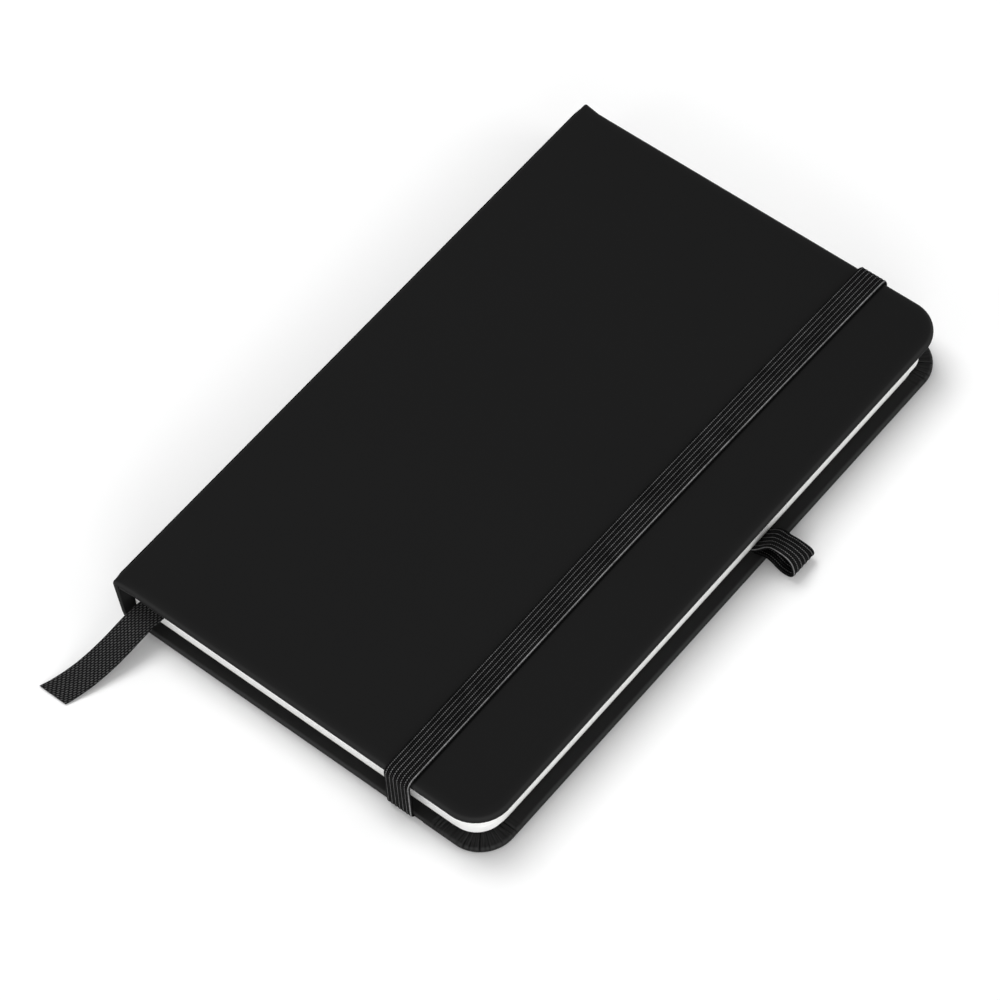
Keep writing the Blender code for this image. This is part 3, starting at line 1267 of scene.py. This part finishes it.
@dataclass
class PageBlock:
    """Sewn sections, each of sixteen separate leaves."""

    leaves: int = 16
    tail_corner: float = 5.8
    head_corner: float = 4.2
    corner_segments: int = 14
    fill: float = 0.965
    ragged: float = 0.05
    slip: float = 0.04
    bend: float = 16.0
    bend_cuts: int = 12

    def bend_places(self, spine_x: float) -> list[float]:
        """List where a turning leaf needs edge loops to curve beside the fold."""
        return [spine_x + self.bend * (k + 1) / self.bend_cuts for k in range(self.bend_cuts)]

    def fold(self, low: Vector, high: Vector) -> tuple[Vector, Vector]:
        """Give where a turning leaf starts and stops bending, in metres."""
        start = Vector((low.x, 0.0, high.z))
        return start * MM, (start + Vector((self.bend, 0.0, 0.0))) * MM

    def leaf(self, name: str, low: Vector, high: Vector, curved: bool) -> bpy.types.Object:
        """Model one leaf with two rounded fore corners.

        Args:
            name: Name of the leaf.
            low: Lowest corner in millimetres.
            high: Highest corner in millimetres.
            curved: Whether it gets edge loops to bend at.

        Returns:
            The leaf.
        """
        obj = add_box(name, low, high)
        for radius, tail in ((self.tail_corner, True), (self.head_corner, False)):

            def fore_upright(a: Vector, b: Vector, tail: bool = tail) -> bool:
                """Choose the upright edge at one fore corner."""
                at_fore = abs(a.z - b.z) > 1e-4 and min(a.x, b.x) > high.x - TOUCHING
                return at_fore and (a.y < 0.0) is tail

            bevel_edges(obj, fore_upright, radius, self.corner_segments)
        if curved:
            slice_across(obj, self.bend_places(low.x))
        return obj

    def section(self, number: int, paper: bpy.types.Material) -> bpy.types.Object:
        """Model one section from its leaves.

        Args:
            number: Section number, 1 at the front.
            paper: The leaves' finish.

        Returns:
            The finished section.
        """
        node = f"section_{number}"
        low, high = node_box(node)
        pitch = (high.z - low.z) / self.leaves
        first = number == 1
        top = Vector((high.x, high.y, low.z + pitch * self.fill))
        model = self.leaf(f"leaf_{number}", low, top, first)
        rng = np.random.default_rng(100 + number)
        copies = [model]
        for index in range(1, self.leaves):
            copy = model.copy()
            copy.data = model.data.copy()
            bpy.context.scene.collection.objects.link(copy)
            shift = Vector((0.0, 0.0, index * pitch)) * MM
            copy.data.transform(Matrix.Translation(shift))
            copies.append(copy)
        for copy in copies:
            trim = 1.0 - rng.uniform(0.0, self.ragged) / (high.x - low.x)
            slide = rng.uniform(-self.slip, self.slip)
            for vertex in copy.data.vertices:
                vertex.co.x = low.x * MM + (vertex.co.x - low.x * MM) * trim
                vertex.co.y += slide * MM
        obj = join(f"section_{number}_leaves", copies)
        smooth(obj)
        dress(obj, paper)
        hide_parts(node)
        if first:
            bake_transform(obj)
        else:
            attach(obj, Body.BACK.value)
        return obj

    def flyleaf(self, paper: bpy.types.Material) -> bpy.types.Object:
        """Model the front flyleaf, cut with edge loops where it curves up beside the fold as it turns.

        Args:
            paper: The endpapers' finish.

        Returns:
            The finished flyleaf.
        """
        node = "front_flyleaf"
        low, high = node_box(node)
        obj = self.leaf("front_flyleaf_sheet", low, high, True)
        smooth(obj)
        dress(obj, paper)
        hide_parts(node)
        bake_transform(obj)
        return obj

    def make(self, paper: bpy.types.Material, endpaper: bpy.types.Material) -> None:
        """Build every section and the flyleaf.

        Args:
            paper: The leaves' finish.
            endpaper: The endpapers' finish.
        """
        for number in range(1, 7):
            self.section(number, paper)
        self.flyleaf(endpaper)


# ------------------------------------------------------------------- straps


@dataclass
class Strap:
    """A flat strip of cloth swept along a route, closed and with its own UV map.

    Attributes:
        name: Name of the piece.
        stations: Middle of the strip at even steps, in millimetres.
        across: Direction of the strip's width.
        width: Width in millimetres.
        thick: Greatest thickness in millimetres.
        ribs: Number of ribs across, 0 for a plain ribbon.
        rib_share: Share of the thickness that the ribs stand up.
        rib_power: How square the ribs are; a lower number makes them squarer.
        per_rib: Points across one rib.
        plain_columns: Points across a plain ribbon.
        square: Whether the strip's width stays square to its route; if not, it keeps its
            direction and the strip its true width.
    """

    name: str
    stations: np.ndarray
    across: Vector
    width: float
    thick: float
    ribs: int = 0
    rib_share: float = 0.5
    rib_power: float = 0.7
    per_rib: int = 8
    plain_columns: int = 16
    square: bool = True

    def cross_section(self, turn: np.ndarray, columns: int) -> tuple[np.ndarray, np.ndarray]:
        """Walk round the strip's cross-section.

        Args:
            turn: Column numbers, once round.
            columns: Number of columns.

        Returns:
            Distance across and height from the middle, in millimetres.
        """
        half = columns // 2
        inner = turn >= half
        share = np.where(inner, (columns - turn) / half, turn / half)
        side = np.where(inner, -1.0, 1.0)
        at_edge = np.minimum(share, 1.0 - share) * self.width
        body = np.sqrt(np.clip(at_edge / (self.thick * 0.5), 0.0, 1.0))
        if self.ribs:
            crown = np.abs(np.sin(math.pi * self.ribs * share)) ** self.rib_power
            body = body * (1.0 - self.rib_share + self.rib_share * crown)
        return (share - 0.5) * self.width, side * body * self.thick / 2

    def build(self) -> bpy.types.Object:
        """Model the strip.

        Returns:
            The closed mesh.
        """
        columns = 2 * (self.ribs * self.per_rib if self.ribs else self.plain_columns)
        route = self.stations
        rows = len(route) - 1
        tangent = np.gradient(route, axis=0)
        tangent /= np.linalg.norm(tangent, axis=1)[:, None]
        wide = np.tile(np.array(self.across, float), (rows + 1, 1))
        squared = wide - tangent * (wide * tangent).sum(1)[:, None]
        size = np.linalg.norm(squared, axis=1)[:, None]
        wide = squared / size if self.square else wide / size
        out = np.cross(squared / size, tangent)

        def place(column: np.ndarray, row: np.ndarray) -> np.ndarray:
            """Lay the grid round the section and along the route."""
            flat, up = self.cross_section(column % columns, columns)
            return route[row] + wide[row] * flat[:, None] + out[row] * up[:, None]

        obj = add_woven_grid(self.name, columns, rows, place)
        close_tube(obj)
        smooth(obj, STRAP_ANGLE)
        return obj


@dataclass
class ClosingBand:
    """The elastic band over the front cover, round both edges and under the back."""

    width: float = 6.15
    thick: float = 0.70
    ribs: int = 7
    place: float = -0.55
    skew: float = 1.55
    straight_to: float = -15.0
    aside_power: float = 1.4
    rib_share: float = 0.45
    bend_from: float = 1.2
    bend_to: float = 12.0
    lean: float = 0.55
    turn: float = 1.7
    step: float = 0.45
    nodes: tuple[str, ...] = (
        "band_span", "band_leg_tail", "band_leg_head", "band_anchor_tail", "band_anchor_head",
    )

    def route(self) -> np.ndarray:
        """Lay the band's route from the tail anchor to the head anchor."""
        span_low, span_high = node_box("band_span")
        leg_low, leg_high = node_box("band_leg_tail")
        anchor_low, anchor_high = node_box("band_anchor_tail")
        middle = (span_low.x + span_high.x) / 2
        edge = -(leg_low.y + leg_high.y) / 2
        top = (span_low.z + span_high.z) / 2
        bottom = (anchor_low.z + anchor_high.z) / 2
        inner = -anchor_high.y
        corners = [
            (-inner, bottom), (-edge, bottom), (-edge, top),
            (edge, top), (edge, bottom), (inner, bottom),
        ]
        flat = even_stations(fillet_route(corners, self.turn), self.step)
        y, z = flat[:, 0], flat[:, 1]
        fall = np.clip(1.0 - z / top, 0.0, 1.0)
        aside = np.clip((y - self.straight_to) / (edge - self.straight_to), 0.0, 1.0) ** self.aside_power
        x = middle + self.place + self.skew * aside - self.lean * fall * (y < 0)
        return np.column_stack([x, y, z])

    def make(self) -> bpy.types.Object:
        """Build and dress the band."""
        route = self.route()
        strap = Strap(
            "closing_band", route, Vector((1, 0, 0)), self.width, self.thick, self.ribs,
            self.rib_share,
        )
        obj = strap.build()
        dress(obj, KnitElastic("band_elastic", route_length(route)).material())
        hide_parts(*self.nodes)
        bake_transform(obj)
        return obj


@dataclass
class PenLoop:
    """The pen loop: the same elastic folded double, a little wider open at the tail."""

    node: str = "pen_loop"
    width: float = 6.65
    thick: float = 0.60
    ribs: int = 6
    rib_share: float = 0.45
    step: float = 0.25
    settle: float = 0.885
    flare: float = 0.50
    shift: float = -0.2
    reach: float = 0.32
    free_from: float = 43.0
    free_over: float = 3.0
    lift_from: float = 1.9
    lift_over: float = 4.0
    upper: tuple[tuple[float, float], ...] = (
        (30.0, 1.43), (36.0, 1.43), (40.4, 1.43), (41.5, 1.43), (42.4, 2.05), (43.5, 3.25),
        (44.7, 4.70), (46.0, 5.70), (47.8, 6.03), (49.6, 5.75), (50.8, 4.85),
    )
    lower: tuple[tuple[float, float], ...] = (
        (51.3, 3.40), (51.3, 2.30), (50.7, 1.40), (49.6, 1.10), (48.5, 1.22), (47.4, 1.75),
        (46.5, 2.25), (45.6, 2.52), (44.8, 2.52), (44.0, 2.32), (43.0, 1.95), (42.1, 1.20),
        (41.2, 0.82), (39.5, 0.77), (36.0, 0.77), (30.0, 0.77),
    )

    def make(self) -> bpy.types.Object:
        """Build, dress and hang the loop."""
        low, high = node_box(self.node)
        middle = (low.y + high.y) / 2 + self.shift
        flat = even_stations(smooth_route(self.upper + self.lower), self.step)
        route = np.column_stack([flat[:, 0], np.full(len(flat), middle), flat[:, 1]])
        obj = Strap(
            self.node + "_strap", route, Vector((0, -1, 0)), self.width, self.thick, self.ribs,
            self.rib_share,
        ).build()
        self.relax(obj, middle)
        dress(obj, KnitElastic("loop_elastic", route_length(route), wales=12).material())
        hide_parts(self.node)
        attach(obj, Body.BACK.value)
        return obj

    def relax(self, obj: bpy.types.Object, middle: float) -> None:
        """Let the loop's top settle, lower at the head side than at the tail.

        Args:
            obj: The loop.
            middle: Y of its middle, in millimetres.
        """

        def move(x: float, y: float, z: float) -> Sequence[float]:
            """Sink a point of the free upper side, and draw the free end out."""
            free = within((x - self.free_from) / self.free_over)
            weight = within((z - self.lift_from) / self.lift_over) * free
            sink = (1.0 - self.settle) * z + self.flare * (y - middle)
            return x + self.reach * free, y, z - sink * weight

        reshape(obj, move)


@dataclass
class RibbonMarker:
    """The ribbon: glued at the head, laid between the leaves, its free end on the ground."""

    node: str = "ribbon_marker"
    width: float = 6.15
    thick: float = 0.22
    packed_thick: float = 0.25
    step: float = 0.5
    path_every: int = 4
    place: float = -37.55
    lies_to: float = -67.0
    fall: tuple[tuple[float, float, float], ...] = (
        (-38.31, -71.93, 5.60), (-38.71, -74.38, 4.75), (-39.25, -77.62, 3.60),
        (-40.07, -81.42, 2.35), (-41.03, -85.02, 1.40), (-42.31, -88.65, 0.62),
        (-43.33, -91.0, 0.28),
    )

    def route(self) -> np.ndarray:
        """Lay the ribbon's route from its glued head end to its cut end."""
        level = node_box(self.node)[1].z - self.packed_thick / 2
        inside = [(self.place, y, level) for y in (66.0, 33.0, 0.0, -33.0)]
        leave = [(self.place, self.lies_to, level), (-37.90, -69.4, level - 0.1)]
        path = inside + smooth_route(leave + list(self.fall))
        return even_stations(path, self.step)

    def make(self) -> bpy.types.Object:
        """Build, dress and hang the ribbon."""
        route = self.route()
        length = route_length(route)
        obj = Strap(
            self.node + "_tape", route, Vector((1, 0, 0)), self.width, self.thick, square=False
        ).build()
        dress(obj, WovenRibbon("woven_ribbon", length, self.width).material())
        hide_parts(self.node)
        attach(obj, Body.BACK.value)
        path = [tuple(float(c) * MM for c in p) for p in route[:: self.path_every]]
        path.append(tuple(float(c) * MM for c in route[-1]))
        self.width * MM
        return obj


# --------------------------------------------------------------------- set


def bearing(azimuth: float, elevation: float) -> Vector:
    """Give the unit direction of an azimuth and an elevation in degrees."""
    az, el = math.radians(azimuth), math.radians(elevation)
    return Vector((math.cos(el) * math.cos(az), math.cos(el) * math.sin(az), math.sin(el)))


@dataclass
class Studio:
    """Pale floor, soft light and the camera.

    Attributes:
        azimuth: Direction of the camera, in degrees from +X.
        elevation: Height of the camera, in degrees.
        roll: Turn of the camera about its own line of sight, in degrees.
        distance: Distance of the camera, in millimetres.
        slide: Shift of the camera to its right and upwards, in millimetres.
        lens: Focal length in millimetres.
        sensor: Sensor width in millimetres.
        near_clip: Nearest distance that the camera sees, in metres.
        floor_size: Side of the floor, in metres.
        floor_gap: Depth of the floor below the notebook, in millimetres.
        floor_white: Level of the floor's paint.
        room: Strength of the light from all round.
        lamps: For each lamp its name, azimuth and elevation in degrees, distance and size in
            metres, and power in watts.
    """

    azimuth: float = -44.378
    elevation: float = 56.284
    roll: float = -7.39
    distance: float = 821.01
    slide: tuple[float, float] = (-7.675, -2.714)
    lens: float = 155.015
    sensor: float = 36.0
    near_clip: float = 0.01
    floor_size: float = 6.0
    floor_gap: float = 0.02
    floor_white: float = 0.92
    room: float = 0.54
    lamps: tuple[tuple[str, float, float, float, float, float], ...] = (
        ("top_softbox", 168.0, 67.0, 1.0, 0.55, 5.2),
        ("front_card", -44.0, 12.0, 1.2, 0.8, 6.5),
        ("head_card", 25.0, 23.0, 1.2, 0.6, 2.2),
        ("tail_card", -100.0, 23.0, 1.2, 0.6, 1.5),
    )

    def camera(self) -> None:
        """Place the camera on a long lens, above the fore edge and the tail."""
        roll = math.radians(self.roll)
        back = bearing(self.azimuth, self.elevation)
        level = (-back).cross(Vector((0, 0, 1))).normalized()
        up = level.cross(-back)
        right = math.cos(roll) * level + math.sin(roll) * up
        top = -math.sin(roll) * level + math.cos(roll) * up
        place = back * self.distance + right * self.slide[0] + top * self.slide[1]
        data = bpy.data.cameras.new("camera")
        data.lens = self.lens
        data.sensor_width = self.sensor
        data.clip_start = self.near_clip
        camera = bpy.data.objects.new("camera", data)
        matrix = Matrix((right, top, back)).transposed().to_4x4()
        matrix.translation = place * MM
        camera.matrix_world = matrix
        bpy.context.scene.collection.objects.link(camera)
        bpy.context.scene.camera = camera

    def floor(self) -> None:
        """Lay a wide pale floor under the notebook."""
        clear_selection()
        place = (0.0, 0.0, -self.floor_gap * MM)
        bpy.ops.mesh.primitive_plane_add(size=self.floor_size, location=place)
        floor = bpy.context.object
        floor.name = "floor"
        sheet = NodeSheet("floor_paint")
        colour = sheet.blend(
            sheet.noise(3.0, 1.0), grey(self.floor_white), grey(self.floor_white + 0.005)
        )
        floor.data.materials.append(sheet.paint(colour, 0.9, None, Specular_IOR_Level=0.1))

    def area(self, name: str, place: Sequence[float], size: float, power: float) -> None:
        """Hang a soft square light aimed at the notebook.

        Args:
            name: Name of the light.
            place: Where it hangs, in metres.
            size: Side of the square, in metres.
            power: Strength in watts.
        """
        data = bpy.data.lights.new(name, "AREA")
        data.shape = "SQUARE"
        data.size = size
        data.energy = power
        lamp = bpy.data.objects.new(name, data)
        lamp.location = place
        lamp.rotation_euler = (-Vector(place)).to_track_quat("-Z", "Y").to_euler()
        bpy.context.scene.collection.objects.link(lamp)

    def light(self) -> None:
        """Fill the room with soft white light and hang the lamps."""
        world = bpy.data.worlds.new("room")
        world.use_nodes = True
        background = world.node_tree.nodes["Background"]
        background.inputs["Color"].default_value = (1, 1, 1, 1)
        background.inputs["Strength"].default_value = self.room
        bpy.context.scene.world = world
        for name, azimuth, height, far, size, power in self.lamps:
            self.area(name, bearing(azimuth, height) * far, size, power)
        bpy.context.scene.view_settings.view_transform = "Standard"

    def make(self) -> None:
        """Set the stage."""
        self.camera()
        self.floor()
        self.light()


def dress_inner_nodes(
    board: bpy.types.Material, endpaper: bpy.types.Material, paper: bpy.types.Material
) -> None:
    """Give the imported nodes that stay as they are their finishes.

    Args:
        board: Finish of the three boards.
        endpaper: Finish of the pastedowns and the back flyleaf.
        paper: Finish of the spine lining.
    """
    thread = LinenThread().material()
    finishes = (
        (board, ("front_board", "back_board", "spine_board")),
        (endpaper, ("front_pastedown", "back_pastedown", "back_flyleaf")),
        (paper, ("spine_lining",)),
        (thread, tuple(f"sewing_thread_{number}" for number in range(1, 5))),
    )
    for finish, nodes in finishes:
        for node in nodes:
            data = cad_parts[node].data
            data.materials.clear()
            data.materials.append(finish)
            LOG.info("%s keeps its packed shape", node)


def main() -> None:
    """Build the notebook's pieces in order."""
    logging.basicConfig(level=logging.INFO, format="%(name)s %(message)s")
    Studio().make()
    skin = SoftTouchCover().material()
    plain = LeafPaper("plain_paper", ruled=False)
    endpaper = LeafPaper(
        "endpaper", ruled=False, white=(0.86, 0.85, 0.82), shade=(0.80, 0.79, 0.755)
    ).material()
    RibbonMarker().make()
    # Painted light: the back cover's skin is the same PU with raised colours, standing in for light its
    # margin lacks under the front cover; its painted edge highlight is paler too.
    BackWrap().make(
        SoftTouchCover("soft_touch_back_painted_light", grey(0.013), grey(0.016), grey(0.032)).material()
    )
    FrontWrap().make(skin)
    PageBlock().make(LeafPaper().material(), endpaper)
    ClosingBand().make()
    PenLoop().make()
    dress_inner_nodes(GreyBoard().material(), endpaper, plain.material())


if __name__ == "__main__":
    main()
